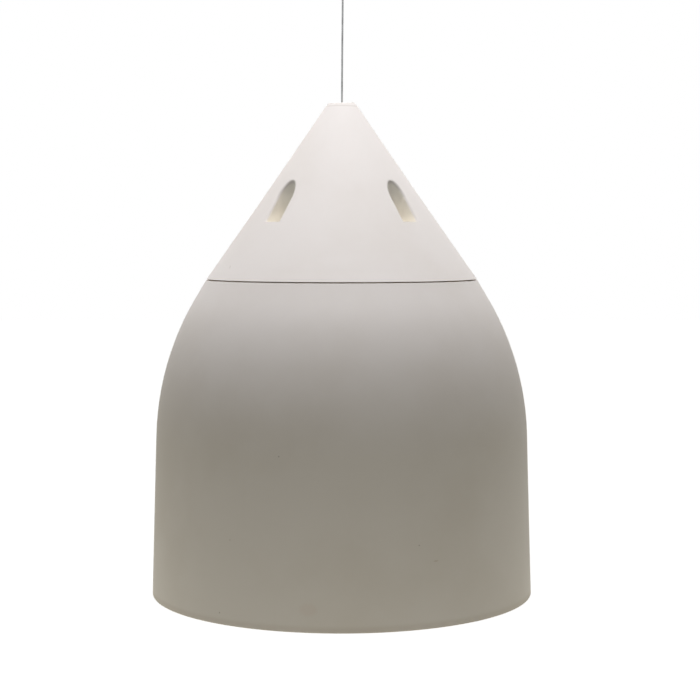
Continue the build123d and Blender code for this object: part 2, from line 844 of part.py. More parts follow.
def woofer_surround():
    """A half roll between two flat edges, one on the basket and one on the cone."""
    half = surround_sheet / 2
    side = 2 * (surround_roll + half)
    roll = Circle(surround_roll + half) - Circle(surround_roll - half)
    roll = roll & Rectangle(side, side, align=(Align.CENTER, Align.MAX))
    outer_edge = Rectangle(surround_land + half, surround_sheet, align=(Align.MIN, Align.MAX))
    inner_edge = Rectangle(surround_land - half, surround_sheet, align=(Align.MAX, Align.MAX))
    outline = roll + Pos(surround_roll - half / 2, 0) * outer_edge
    outline = outline + Pos(half / 2 - surround_roll, 0) * inner_edge
    return spun(Pos(cone_rim_radius + surround_roll, baffle_front) * outline)


def woofer_spider():
    """The corrugated damper between the shelf of the basket and the coil."""
    low = shelf_height - spider_sheet
    first = basket_well_radius - spider_inset
    last = coil_radius + glue_gap + spider_collar
    steps = 2 * spider_waves
    points = [(basket_shelf_radius - spider_inset, low), (first, low)]
    for step in range(1, steps):
        points.append((first + (last - first) * step / steps, low - spider_wave_height * (step % 2)))
    points += [(last, low), (coil_radius + glue_gap, low)]
    back = [(radius, height + spider_sheet) for radius, height in reversed(points)]
    return spun_points(*points, *back)


def woofer_tag_strip():
    """A small board with two solder tags, on the outside of the basket's wall."""
    low = baffle_front + window_low + tag_strip_rise
    face = basket_outside(low) + tag_strip_gap
    strip = block(
        tag_strip_sheet, tag_strip_width, low, low + tag_strip_height, face + tag_strip_sheet / 2
    )
    reach, width, sheet = tag_size
    middle = low + tag_strip_height / 2
    tag = block(reach, width, middle, middle + sheet, face + tag_strip_sheet + reach / 2)
    return strip + Pos(0, tag_offset, 0) * tag + Pos(0, -tag_offset, 0) * tag


# Tweeter

def tweeter_bridge():
    reach = woofer_screw_circle + bridge_leg / 2
    bar = block(2 * reach, bridge_width, bridge_height, bridge_back)
    leg = block(bridge_leg, bridge_width, bridge_height, baffle_front, woofer_screw_circle)
    bridge = joined([bar] + around(leg, 2)) & upright(reach, 0, rim_radius)
    bridge = bridge + upright(bridge_ring_radius, bridge_height, bridge_back)
    bridge = bridge - upright(tweeter_radius + tweeter_fit, 0, rim_radius)
    hole = upright(small_screw_radius + screw_clearance, 0, rim_radius, woofer_screw_circle)
    sunk = upright(small_head_radius + screw_clearance, 0, bridge_seat, woofer_screw_circle)
    return bridge - joined(around(hole + sunk, 2))


def bridge_screws():
    screw = pan_screw(
        small_screw_radius, small_head_radius, small_head, bridge_screw_length, bridge_seat, woofer_screw_circle
    )
    return group(around(screw, 2))


def tweeter_faceplate():
    """A shallow horn ring round the dome."""
    return spun_points(
        (tweeter_radius, bridge_height),
        (tweeter_radius, bridge_back),
        (dome_radius + horn_back_gap, bridge_back),
        (dome_radius + horn_front_gap, bridge_height),
    )


def tweeter_dome():
    return dome(dome_radius, dome_rise, dome_wall, bridge_back - dome_wall)


def tweeter_motor():
    can = upright(tweeter_motor_radius, bridge_back, bridge_back + tweeter_motor_length)
    return fillet(can.edges().group_by(Axis.Z)[-1], tweeter_motor_rounding)


# Transformer

def transformer_core():
    stack = block(core_width, core_stack, core_low, deck_under, transformer_x)
    half = (core_height - core_leg) / 2
    for side in (-1, 1):
        x = transformer_x + side * (core_leg + window_width) / 2
        stack = stack - block(window_width, core_stack + cut_past, core_middle - half, core_middle + half, x)
    return stack


def transformer_winding():
    half = (core_height - core_leg) / 2 - winding_gap
    low, high = core_middle - half, core_middle + half
    width = core_leg + 2 * (window_width - winding_gap)
    coil = block(width, core_stack + 2 * winding_overhang, low, high, transformer_x)
    coil = fillet(coil.edges().filter_by(Axis.Z), winding_rounding)
    leg_width, leg_depth = core_leg + 2 * winding_gap, core_stack + 2 * winding_gap
    return coil - block(leg_width, leg_depth, low - cut_past, high + cut_past, transformer_x)


def strap_screw_places():
    """Positions along X of the two screws of the transformer's strap."""
    reach = core_width / 2 + strap_fit + strap_sheet + strap_foot / 2
    return (transformer_x - reach, transformer_x + reach)


def transformer_bracket():
    """A strap bent round the core, with a foot at each end on the deck."""
    inside = core_width + 2 * strap_fit
    low = core_low - strap_fit
    strap = block(inside + 2 * strap_sheet, strap_width, low - strap_sheet, deck_under, transformer_x)
    span = inside + 2 * (strap_sheet + strap_foot)
    strap = strap + block(span, strap_width, deck_under - strap_sheet, deck_under, transformer_x)
    strap = strap - block(inside, strap_width + cut_past, low, deck_under + cut_past, transformer_x)
    for x in strap_screw_places():
        strap = strap - upright(small_screw_radius + screw_clearance, 0, deck_height, x)
    return strap


def transformer_screws():
    length = strap_sheet + deck_thickness - deck_skin - blind_gap
    seat = deck_under - strap_sheet
    return group(
        pan_screw(small_screw_radius, small_head_radius, small_head, length, seat, x)
        for x in strap_screw_places()
    )


# Crossover

def board_corners():
    """Positions of the pillars that carry the crossover board."""
    half_x = board_length / 2 - pillar_inset
    half_y = board_width / 2 - pillar_inset
    return [(board_x + side * half_x, end * half_y) for side in (-1, 1) for end in (-1, 1)]


def crossover_board():
    board = block(board_length, board_width, board_low, board_low + board_thickness, board_x)
    for x, y in board_corners():
        board = board - upright(small_screw_radius + screw_clearance, 0, deck_under, x, y)
    return board


def crossover_screws():
    length = board_thickness + pillar_height - blind_gap
    return group(
        pan_screw(small_screw_radius, small_head_radius, small_head, length, board_low, x, y)
        for x, y in board_corners()
    )


def crossover_inductor():
    """A copper coil between two cheeks."""
    x, y = board_x + inductor_place[0], inductor_place[1]
    low = board_low - inductor_height
    coil = upright(inductor_radius - inductor_cheek, low, board_low, x, y)
    coil = coil + upright(inductor_radius, low, low + inductor_cheek, x, y)
    coil = coil + upright(inductor_radius, board_low - inductor_cheek, board_low, x, y)
    return coil - upright(inductor_core_radius, low - cut_past, board_low - inductor_cheek, x, y)


def crossover_capacitors():
    cans = []
    for along, y in capacitor_places:
        can = upright(capacitor_radius, board_low - capacitor_height, board_low)
        can = fillet(can.edges().group_by(Axis.Z)[0], capacitor_rounding)
        groove_high = board_low - capacitor_groove_drop
        groove_low = groove_high - capacitor_groove_width
        groove_floor = capacitor_radius - capacitor_groove
        can = can - ring(groove_floor, capacitor_radius + cut_past, groove_low, groove_high)
        cans.append(Pos(board_x + along, y, 0) * can)
    return group(cans)


def crossover_resistor():
    length, width, height = resistor_size
    x, y = board_x + resistor_place[0], resistor_place[1]
    body = block(length, width, board_low - height, board_low, x, y)
    return chamfer(body.edges().filter_by(Axis.X), resistor_bevel)


# Tap selector

def tap_selector_switch():
    low, high = deck_under - selector_body_length, deck_height + bush_rise
    body = upright(selector_body_radius, low, deck_under, 0, selector_y)
    body = body + upright(bush_radius, low, high, 0, selector_y)
    return body - upright(shaft_radius + shaft_fit, low + shaft_floor, high + cut_past, 0, selector_y)


def tap_selector_nut():
    nut = hex_head(deck_height, deck_height + nut_thickness, 0, selector_y, nut_across)
    return nut - upright(bush_radius + thread_gap, 0, knob_low, 0, selector_y)


def tap_selector_shaft():
    low = deck_under - selector_body_length + shaft_floor + blind_gap
    return upright(shaft_radius, low, deck_height + shaft_rise, 0, selector_y)


def tap_selector_knob():
    """A fluted knob with a pointer ridge, bored for the shaft."""
    high = knob_low + knob_height
    knob = upright(knob_radius, knob_low, high)
    knob = chamfer(knob.edges().group_by(Axis.Z)[-1], knob_bevel)
    flute = upright(flute_radius, knob_low - cut_past, high + cut_past, knob_radius + flute_radius / 2)
    knob = knob - joined(around(flute, knob_flutes, 180.0 / knob_flutes))
    knob = knob + block(knob_radius - knob_bevel, pointer_width, high - knob_bevel, high + knob_bevel,
                        (knob_radius - knob_bevel) / 2)
    bore_end = deck_height + shaft_rise + knob_fit
    return Pos(0, selector_y, 0) * (knob - upright(shaft_radius + knob_fit, knob_low - cut_past, bore_end))


# Line terminals

def terminal_places():
    """Positions along X of the terminal ways."""
    return [terminal_pitch * (way - (terminal_ways - 1) / 2) for way in range(terminal_ways)]


def terminal_block():
    """A moulded block with a wire hole and a screw well for each way."""
    width = terminal_pitch * terminal_ways + terminal_margin
    top = deck_height + terminal_height
    body = block(width, terminal_depth, deck_height, top, 0, terminal_y)
    body = chamfer(body.edges().group_by(Axis.Z)[-1].filter_by(Axis.X), terminal_bevel)
    bore = Rot(90, 0, 0) * Cylinder(
        terminal_bore, terminal_bore_length, align=(Align.CENTER, Align.CENTER, Align.MIN)
    )
    well_radius = clamp_screw_radius + counterbore_gap
    for x in terminal_places():
        body = body - Pos(x, terminal_y + terminal_depth / 2, deck_height + terminal_bore_height) * bore
        seat = deck_height + terminal_screw_height
        body = body - upright(well_radius, seat, top + cut_past, x, terminal_y + terminal_screw_y)
    return body


def terminal_screws():
    low = deck_height + terminal_screw_height
    high = low + terminal_screw_head
    y = terminal_y + terminal_screw_y
    slot_low = high - terminal_slot_depth
    slot_length = 2 * clamp_screw_radius + cut_past
    return group(
        upright(clamp_screw_radius, low, high, x, y)
        - block(terminal_slot_width, slot_length, slot_low, high + cut_past, x, y)
        for x in terminal_places()
    )


# Hanger and wire rope

def hanger_bracket():
    """A strap bent into a top hat: two feet on the deck, two leaning legs and a bridge."""
    top, foot_top, sheet = hanger_top_height, deck_height + hanger_sheet, hanger_sheet
    inner = hanger_top_half
    knee = inner + hanger_leg_lean
    toe = knee + hanger_foot
    right = [(inner, top - sheet), (knee, deck_height), (toe, deck_height), (toe, foot_top),
             (knee + sheet, foot_top), (inner + sheet, top)]
    left = [(-y, z) for y, z in reversed(right)]
    strap = extrude(Plane.YZ * make_face(Polyline(*right, *left, close=True)), hanger_width / 2, both=True)
    strap = strap - upright(rope_radius + rope_fit, 0, top + cut_past)
    strap = strap - upright(safety_hole_radius, foot_top, top + cut_past, 0, safety_hole_y)
    for y in (-hanger_bolt_circle, hanger_bolt_circle):
        strap = strap - upright(bolt_radius + screw_clearance, 0, foot_top + cut_past, 0, y)
    return strap


def hanger_bolts():
    seat = deck_height + hanger_sheet
    return group(
        hex_head(seat, seat + bolt_head, 0, y, bolt_head_across)
        + upright(bolt_radius, seat - bolt_length, seat, 0, y)
        for y in (-hanger_bolt_circle, hanger_bolt_circle)
    )


def hanger_nuts():
    return group(
        hex_head(deck_under - bolt_head, deck_under, 0, y, bolt_head_across)
        - upright(bolt_radius + thread_gap, 0, deck_height, 0, y)
        for y in (-hanger_bolt_circle, hanger_bolt_circle)
    )


def rope_route():
    """Points down the middle of the rope: up from the stop, round the eye and back into the ferrule."""
    side_angle = degrees(atan2(strand_offset, throat_drop))
    leave = degrees(asin(eye_rope_radius / hypot(strand_offset, throat_drop))) - side_angle
    turn = (180.0 + 2 * leave) / eye_corners
    reach = eye_rope_radius / cos(radians(turn / 2))
    points = [
        (0, 0, stop_low - rope_tail),
        (0, 0, cap_top_height),
        (strand_offset, 0, ferrule_low),
        (strand_offset, 0, throat_height),
    ]
    for corner in range(eye_corners):
        angle = radians(turn * (corner + 0.5) - leave)
        points.append((reach * cos(angle), 0, eye_height + reach * sin(angle)))
    points.append((-strand_offset, 0, throat_height))
    points.append((-strand_offset, 0, ferrule_low - strand_end))
    return points


def bend_radii(points):
    """The largest bends that the runs of a route allow."""
    radii = []
    for before, here, after in zip(points, points[1:], points[2:]):
        arriving = Vector(*here) - Vector(*before)
        leaving = Vector(*after) - Vector(*here)
        shorter = min(arriving.length, leaving.length)
        radii.append(0.45 * shorter / tan(radians(arriving.get_angle(leaving)) / 2))
    return radii


def round_cord(name, points, radius):
    """A tube of straight runs and tangent bends, with its bends and its volume printed."""
    radii = bend_radii(points)
    path = FilletPolyline(*points, radius=radii)
    tube = sweep(Plane(origin=path @ 0, z_dir=path % 0) * Circle(radius), path=path)
    ratio = tube.volume / (pi * radius ** 2 * path.length)
    print(f"{name}: {path.length:.1f} long, volume ratio {ratio:.4f}, bends", [round(r, 1) for r in radii])
    return tube


def suspension_rope():
    return round_cord("suspension_rope", rope_route(), rope_radius)


def rope_stop():
    """The swaged sleeve that holds the rope under the hanger."""
    sleeve = upright(stop_radius, stop_low, stop_low + stop_length)
    sleeve = chamfer(sleeve.edges().group_by(Axis.Z)[0], stop_bevel)
    return sleeve - upright(rope_radius + rope_fit, 0, hanger_top_height)


def rope_ferrule():
    """The oval crimped sleeve that closes the eye."""
    hole = SlotCenterToCenter(2 * strand_offset, 2 * (rope_radius + rope_fit))
    sleeve = extrude(Ellipse(ferrule_half_width, ferrule_half_depth) - hole, ferrule_length)
    return Pos(0, 0, ferrule_low) * sleeve


def rope_thimble():
    """The grooved liner inside the eye, open towards the throat."""
    groove = rope_radius + thimble_fit
    floor = eye_rope_radius - groove
    inner = floor - thimble_sheet
    cheek = eye_rope_radius
    depth = thimble_half_depth
    section = make_face(
        Polyline((inner, -depth), (cheek, -depth), (cheek, -groove), (floor, -groove), (floor, groove),
                 (cheek, groove), (cheek, depth), (inner, depth), close=True)
    )
    reach = 2 * cheek
    throat = Rot(0, 45, 0) * Box(reach, reach, reach, align=(Align.MIN, Align.CENTER, Align.MAX))
    return Pos(0, 0, eye_height) * (revolve(section, axis=Axis.Y) - throat)


# Lining and leads

def acoustic_wadding():
    """A roll of wadding that lines the wall."""
    roll = bell(body_wall + wadding_gap, wadding_low, wadding_high)
    roll = roll - upright(wadding_inner_radius, 0, 2 * rim_radius)
    edges = roll.edges().filter_by(GeomType.CIRCLE).sort_by(SortBy.RADIUS)[:2]
    return fillet(edges, wadding_rounding)


def input_lead():
    return round_cord("input_lead", input_lead_route, thick_lead)


def selector_lead():
    return round_cord("selector_lead", selector_lead_route, thick_lead)


def crossover_lead():
    return round_cord("crossover_lead", crossover_lead_route, thin_lead)


def woofer_leads():
    return group(round_cord("woofer_leads", route, fine_lead) for route in woofer_lead_routes)


def tweeter_lead():
    return round_cord("tweeter_lead", tweeter_lead_route, fine_lead)


def main():
    os.makedirs("parts", exist_ok=True)
    pieces = [
        top_cap, cap_screws, cap_grommet, enclosure_body,
        grille, grille_scrim, grille_holders, baffle, baffle_gasket, baffle_screws,
        woofer_basket, woofer_gasket, woofer_screws, woofer_top_plate, woofer_magnet, woofer_yoke,
        woofer_cone, woofer_dust_cap, voice_coil_former, voice_coil_winding, woofer_surround,
        woofer_spider, woofer_tag_strip,
        tweeter_bridge, bridge_screws, tweeter_faceplate, tweeter_dome, tweeter_motor,
        transformer_core, transformer_winding, transformer_bracket, transformer_screws,
        crossover_board, crossover_screws, crossover_inductor, crossover_capacitors, crossover_resistor,
        tap_selector_switch, tap_selector_nut, tap_selector_shaft, tap_selector_knob,
        terminal_block, terminal_screws,
        hanger_bracket, hanger_bolts, hanger_nuts,
        suspension_rope, rope_stop, rope_ferrule, rope_thimble,
        acoustic_wadding, input_lead, selector_lead, crossover_lead, woofer_leads, tweeter_lead,
    ]
    for piece in pieces:
        save(piece.__name__, piece())
    for side, angle in port_angles.items():
        save(f"port_tube_{side}", port_tube(angle))


main()
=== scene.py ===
from math import cos, pi, radians, sin

import bpy
import numpy as np
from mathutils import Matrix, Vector


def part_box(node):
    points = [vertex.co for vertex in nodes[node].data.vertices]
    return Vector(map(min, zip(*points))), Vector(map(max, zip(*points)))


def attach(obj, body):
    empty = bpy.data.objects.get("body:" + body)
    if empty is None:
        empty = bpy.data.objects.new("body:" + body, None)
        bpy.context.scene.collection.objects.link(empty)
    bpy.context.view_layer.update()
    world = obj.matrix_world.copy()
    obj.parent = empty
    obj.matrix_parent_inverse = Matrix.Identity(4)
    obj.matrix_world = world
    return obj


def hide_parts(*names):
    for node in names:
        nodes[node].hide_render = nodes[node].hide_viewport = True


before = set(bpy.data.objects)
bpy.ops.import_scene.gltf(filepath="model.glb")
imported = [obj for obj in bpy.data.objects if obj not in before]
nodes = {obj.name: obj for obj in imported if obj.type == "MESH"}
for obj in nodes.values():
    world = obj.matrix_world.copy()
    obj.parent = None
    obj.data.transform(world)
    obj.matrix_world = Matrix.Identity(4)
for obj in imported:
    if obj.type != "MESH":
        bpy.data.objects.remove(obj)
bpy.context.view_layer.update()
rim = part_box("enclosure_body")[0].z  # height of the bell's rim, in the frame of the eye
print("frame loaded:", len(nodes), "nodes")

# Every length is in metres, and level(h) is a height above the rim.


def level(height):
    return rim + height


# Camera

view = {
    "pictureSide": 700,                  # pixels
    "lens": 84.95,                       # on a 36 mm sensor
    "pitch": 3.905,                      # degrees below the horizon
    "place": (0.0067, -1.3463, 0.2895),  # the last one above the rim
    "farthest": 50,
}


def setCamera():
    camera = bpy.data.objects.new("camera", bpy.data.cameras.new("camera"))
    camera.data.lens = view["lens"]
    camera.data.clip_end = view["farthest"]
    x, y, height = view["place"]
    camera.location = (x, y, level(height))
    camera.rotation_euler = (radians(90 - view["pitch"]), 0, 0)
    bpy.context.scene.collection.objects.link(camera)
    bpy.context.scene.camera = camera
    bpy.context.view_layer.update()
    return camera


camera = setCamera()
print("camera set")


# Colours and node trees

def colour(screenTone):
    # three numbers from 0 to 255 on a screen, as the linear light that Blender works in
    share = np.array(screenTone) / 255
    linear = np.where(share <= 0.04045, share / 12.92, ((share + 0.055) / 1.055) ** 2.4)
    return (*linear.tolist(), 1.0)


def varied(middle, *layers):
    # a value that patterns from 0 to 1 move up and down about its middle, each by its own spread
    value = middle - sum(spread for pattern, spread in layers) / 2
    for pattern, spread in layers:
        value = pattern * spread + value
    return value


class Wire:  # an output socket; sums, differences and products of wires become Math nodes
    def __init__(self, paint, socket):
        self.paint = paint
        self.socket = socket

    def __add__(self, other):
        return self.paint.maths("ADD", self, other)

    def __sub__(self, other):
        return self.paint.maths("SUBTRACT", self, other)

    def __rsub__(self, other):
        return self.paint.maths("SUBTRACT", other, self)

    def __mul__(self, other):
        return self.paint.maths("MULTIPLY", self, other)

    __radd__ = __add__
    __rmul__ = __mul__


class Paint:  # the node tree of a material or the world, built node by node
    def __init__(self, owner):
        self.owner = owner
        owner.use_nodes = True
        self.tree = owner.node_tree
        self.tree.nodes.clear()

    def add(self, kind, settings=None, sockets=None, output=0):
        # one node: its settings first, then a value or a link for each socket
        node = self.tree.nodes.new("ShaderNode" + kind)
        for key, value in (settings or {}).items():
            setattr(node, key, value)
        for key, value in (sockets or {}).items():
            if isinstance(value, Wire):
                self.tree.links.new(value.socket, node.inputs[key])
            else:
                node.inputs[key].default_value = value
        return Wire(self, node.outputs[output]) if len(node.outputs) else None

    def maths(self, operation, *terms):
        return self.add("Math", {"operation": operation}, dict(enumerate(terms)))

    def vector(self, operation, *terms, output=0):
        return self.add("VectorMath", {"operation": operation}, dict(enumerate(terms)), output)

    def point(self):
        return self.add("TexCoord", output="Object")

    def stretched(self, factors):
        # Object coordinates multiplied along each axis
        return self.vector("MULTIPLY", self.point(), factors)

    def component(self, vector, axis):
        return self.add("SeparateXYZ", sockets={0: vector}, output=axis)

    def fromAxis(self):
        # distance from the upright axis: the length of (x, y, 0)
        return self.vector("LENGTH", self.stretched((1, 1, 0)), output=1)

    def noise(self, size, detail=2.0, rough=0.5, place=None):
        sockets = {"Scale": 1 / size, "Detail": detail, "Roughness": rough}
        return self.add("TexNoise", sockets={"Vector": place or self.point(), **sockets})

    def step(self, value, low, high):
        # smooth rise from 0 at low to 1 at high
        sockets = {"Value": value, "From Min": low, "From Max": high}
        return self.add("MapRange", {"interpolation_type": "SMOOTHSTEP"}, sockets)

    def blend(self, factor, first, second):
        return self.add("Mix", {"data_type": "RGBA"}, {0: factor, 6: first, 7: second}, output=2)

    def finish(self, tone, roughness, height, depth, bumpStrength=1.0, metallic=0.0, fixed=None):
        # height is a pattern from 0 to 1 that stands depth metres proud; fixed holds plain values
        bump = {"Strength": bumpStrength, "Distance": depth, "Height": height}
        sockets = {
            "Base Color": tone, "Roughness": roughness, "Metallic": metallic,
            "Normal": self.add("Bump", sockets=bump), **(fixed or {}),
        }
        shader = self.add("BsdfPrincipled", sockets=sockets)
        self.add("OutputMaterial", sockets={"Surface": shader})
        return self.owner


def material(name):
    return Paint(bpy.data.materials.new(name))


# Marks on the plastic, each at its pixel in the photograph

markCore = 0.45                          # share of a mark's reach that has its full tone
marks = {
    "speckCentre": {
        "pixel": (278.7, 456.6), "reach": (0.0008, 0.0008, 0.0007),
        "tone": (110, 102, 90), "strength": 0.4,
    },
    "speckRight": {
        "pixel": (419.3, 545.4), "reach": (0.0009, 0.0009, 0.0007),
        "tone": (128, 118, 104), "strength": 0.35,
    },
    "speckLow": {
        "pixel": (229.9, 539.9), "reach": (0.0007, 0.0007, 0.0008),
        "tone": (132, 122, 108), "strength": 0.25,
    },
    "speckRim": {
        "pixel": (219.5, 612.7), "reach": (0.0008, 0.0008, 0.0008),
        "tone": (124, 114, 100), "strength": 0.4,
    },
    "scratch": {
        "pixel": (436.0, 561.0), "reach": (0.0026, 0.003, 0.0006),
        "tone": (176, 154, 132), "strength": 0.35,
    },
    "smudge": {
        "pixel": (308.0, 610.0), "reach": (0.009, 0.009, 0.006),
        "tone": (216, 194, 184), "strength": 0.16,
    },
    "scuff": {
        "pixel": (230.0, 267.0), "reach": (0.0007, 0.002, 0.0042),
        "tone": (196, 190, 182), "strength": 0.5,
    },
}


def seenPlace(pixel):
    # where the line of sight through a pixel of the photograph meets the plastic
    half = view["pictureSide"] / 2
    focal = view["lens"] / camera.data.sensor_width * view["pictureSide"]
    sight = camera.matrix_world.to_3x3() @ Vector((pixel[0] - half, half - pixel[1], -focal))
    start = camera.matrix_world.translation
    for node in ("enclosure_body", "top_cap"):
        found, place = nodes[node].ray_cast(start, sight.normalized())[:2]
        if found:
            return place
    return Vector((0, 0, 0))  # beside the plastic, where the mark shows nowhere


def markMask(paint, mark):
    # an ellipsoid round the mark's place: 1 in its core, 0 at its reach
    offset = paint.vector("SUBTRACT", paint.point(), tuple(seenPlace(mark["pixel"])))
    reach = paint.vector("LENGTH", paint.vector("DIVIDE", offset, mark["reach"]), output=1)
    return 1 - paint.step(reach, markCore, 1.0)


# Finishes; edges are the two values between which a smooth step rises

housing = {
    "tone": (226, 221, 216),
    "roughness": 0.72,
    "specular": 0.3,
    "grain": {"size": 0.0007, "depth": 0.00004, "strength": 0.5},
    "clouds": {"tone": (219, 213, 206), "size": 0.11, "edges": (0.42, 0.68), "strength": 0.6},
    "streaks": {"size": 0.004, "squeeze": 0.06, "edges": (0.6, 0.8), "strength": 0.12},
    "coverEdge": (0.1097, 0.2559),       # radius and height of the cover's lower edge
    "coverTop": (0.01295, 0.3950),
    "pockets": {                         # the inside of each pocket painted lighter, most towards the arch: painted light against the shade there
        "tone": (248, 243, 232),
        "edges": (0.0012, 0.003),        # in from the cover's cone
        "low": (0.0015, 0.0016),         # above the cover's lower edge
        # painted light: lighter still towards the arch, where the pockets' shade is deepest
        "archPaintedLight": (254, 250, 240),
        "archEdges": (0.306, 0.328),
    },
    "dust": {                            # settled on faces that look up
        "tone": (184, 177, 166),
        "edges": (0.75, 0.97),
        "open": 0.4,
        "inPockets": 0.45,
    },
    "plugJointShadeAndDust": {                        # dust and painted shade in a line at the joint under the plug's flange
        "tone": (196, 189, 182),
        "height": 0.3948,
        "edges": (0.0002, 0.0008),
        "strength": 0.45,
    },
    "seam": {                            # the ledge behind the seam, painted lighter and browner: painted light in the gap's shade
        "tone": (250, 232, 205),
        "inset": 0.0007,
        "softness": 0.0004,
        "above": 0.0015,
        "below": (0.003, 0.0029),
    },
    "rimBand": {                         # slightly soiled above the rim
        "tone": (200, 190, 180),
        "edges": (0.0028, 0.0064),
        "strength": 0.45,
    },
}


def pocketMask(paint, height, away):
    # how deep a point lies behind the cover's cone: top radius + slope * drop - away
    edgeRadius, edgeHeight = housing["coverEdge"]
    topRadius, topHeight = housing["coverTop"]
    pockets = housing["pockets"]
    slope = (edgeRadius - topRadius) / (topHeight - edgeHeight)
    depth = (height - topHeight) * -slope + topRadius - away
    low, high = pockets["low"]
    above = paint.step(height, edgeHeight + low, edgeHeight + high)
    return paint.step(depth, *pockets["edges"]) * above


def seamMask(paint, height, away):
    # 1 further in than the cover's edge, from a little below it to a little above: the seam's gap,
    # where light is painted
    edgeRadius, edgeHeight = housing["coverEdge"]
    seam = housing["seam"]
    low, high = seam["below"]
    inside = paint.step(edgeRadius - seam["inset"] - away, 0.0, seam["softness"])
    inside = inside * (1 - paint.step(height, edgeHeight, edgeHeight + seam["above"]))
    return inside * paint.step(height, edgeHeight - low, edgeHeight - high)


def rimMask(paint, height, clouds):
    # 1 at the rim and 0 above its band, half as strong where there are no clouds
    return (1 - paint.step(height, *housing["rimBand"]["edges"])) * (clouds * 0.5 + 0.5)


def housingPlastic():
    # moulded matt plastic with a fine sparked grain; each blend lays one more tint on the tone,
    # painted light in the pockets and the seam and painted shade at the plug's joint among them
    paint = material("housingPlastic")
    height = paint.component(paint.point(), 2) - rim
    away = paint.fromAxis()
    grained, clouded, streaked = housing["grain"], housing["clouds"], housing["streaks"]
    grain = paint.noise(grained["size"], detail=3.0, rough=0.6)
    clouds = paint.noise(clouded["size"], detail=4.0, rough=0.55)
    drawn = paint.stretched((1, 1, streaked["squeeze"]))
    streaks = paint.noise(streaked["size"], detail=3.0, place=drawn)
    cloudTone = colour(clouded["tone"])
    share = paint.step(clouds, *clouded["edges"]) * clouded["strength"]
    tone = paint.blend(share, colour(housing["tone"]), cloudTone)
    share = paint.step(streaks, *streaked["edges"]) * streaked["strength"]
    tone = paint.blend(share, tone, cloudTone)

    # painted light: the inside of the pockets lighter than the plastic round them, and lighter
    # still towards the arch, to lift their shade
    pockets = housing["pockets"]
    inPockets = pocketMask(paint, height, away)
    arched = paint.step(height, *pockets["archEdges"])
    paintedPocketLight = paint.blend(arched, colour(pockets["tone"]), colour(pockets["archPaintedLight"]))
    tone = paint.blend(inPockets, tone, paintedPocketLight)

    dust = housing["dust"]
    upright = paint.component(paint.add("NewGeometry", output="Normal"), 2)
    share = inPockets * (dust["inPockets"] - dust["open"]) + dust["open"]
    tone = paint.blend(paint.step(upright, *dust["edges"]) * share, tone, colour(dust["tone"]))

    # painted shade: a darker line at the joint under the plug's flange, which also stands for dust
    # there
    plugJointShadeAndDust = housing["plugJointShadeAndDust"]
    offLine = paint.maths("ABSOLUTE", height - plugJointShadeAndDust["height"])
    share = (1 - paint.step(offLine, *plugJointShadeAndDust["edges"])) * plugJointShadeAndDust["strength"]
    tone = paint.blend(share, tone, colour(plugJointShadeAndDust["tone"]))
    # painted light: the gap of the seam lighter and browner than its shade
    tone = paint.blend(seamMask(paint, height, away), tone, colour(housing["seam"]["tone"]))
    share = rimMask(paint, height, clouds) * housing["rimBand"]["strength"]
    tone = paint.blend(share, tone, colour(housing["rimBand"]["tone"]))
    for mark in marks.values():
        tone = paint.blend(markMask(paint, mark) * mark["strength"], tone, colour(mark["tone"]))

    rough = varied(housing["roughness"], (grain, 0.1), (clouds, 0.08))
    return paint.finish(
        tone, rough, grain, grained["depth"], grained["strength"],
        fixed={"Specular IOR Level": housing["specular"]},
    )


moulded = {"cloudSize": 0.03, "cloudShare": 0.6, "edges": (0.35, 0.7), "bump": 0.6}
mouldings = {  # name, two tones that mingle, roughness, size and depth of the grain
    "grille_paint": ("grillePaint", (206, 201, 195), (214, 210, 204), 0.5, 0.0009, 0.00005),
    "black_plastic": ("blackPlastic", (30, 30, 31), (40, 40, 41), 0.48, 0.0008, 0.00003),
    "black_rubber": ("blackRubber", (26, 26, 27), (34, 34, 35), 0.6, 0.0012, 0.00002),
    "ferrite": ("ferrite", (44, 43, 43), (58, 57, 56), 0.62, 0.0006, 0.00006),
    "board_green": ("circuitBoard", (26, 82, 48), (34, 98, 58), 0.38, 0.0011, 0.00002),
    "capacitor_sleeve": ("capacitorSleeve", (28, 40, 74), (34, 48, 88), 0.35, 0.0008, 0.00003),
    "white_ceramic": ("whiteCeramic", (220, 217, 208), (206, 202, 192), 0.75, 0.0005, 0.00005),
    "lead_black": ("leadBlack", (24, 24, 25), (32, 32, 33), 0.45, 0.0008, 0.00003),
    "lead_red": ("leadRed", (142, 26, 24), (160, 34, 30), 0.45, 0.0008, 0.00003),
}


def mouldedFinish(name, tone, otherTone, roughness, grainSize, depth):
    # plain moulded, painted or coated surface: grain and faint clouds
    paint = material(name)
    grain = paint.noise(grainSize, detail=2.0)
    clouds = paint.noise(moulded["cloudSize"], detail=3.0)
    mingled = clouds * moulded["cloudShare"] + grain * (1 - moulded["cloudShare"])
    tone = paint.blend(paint.step(mingled, *moulded["edges"]), colour(tone), colour(otherTone))
    rough = varied(roughness, (grain, 0.12), (clouds, 0.1))
    return paint.finish(tone, rough, grain, depth, moulded["bump"])


metal = {
    "fineSize": 0.0015, "depth": 0.00002, "bump": 0.4,
    "stainSize": 0.012, "edges": (0.4, 0.75), "strength": 0.7,
    "dullEdges": (0.45, 0.8), "dulling": 0.15,
}
metals = {  # name, tone, stained tone, roughness
    "zinc_steel": ("zincSteel", (186, 188, 190), (140, 142, 144), 0.34),
    "black_steel": ("blackSteel", (46, 46, 48), (28, 28, 30), 0.42),
    "nickel": ("nickelPlate", (196, 190, 178), (160, 154, 142), 0.22),
    "aluminium": ("aluminiumFoil", (176, 178, 181), (138, 140, 143), 0.4),
    "rope_steel": ("ropeSteel", (172, 173, 174), (128, 128, 128), 0.38),
}


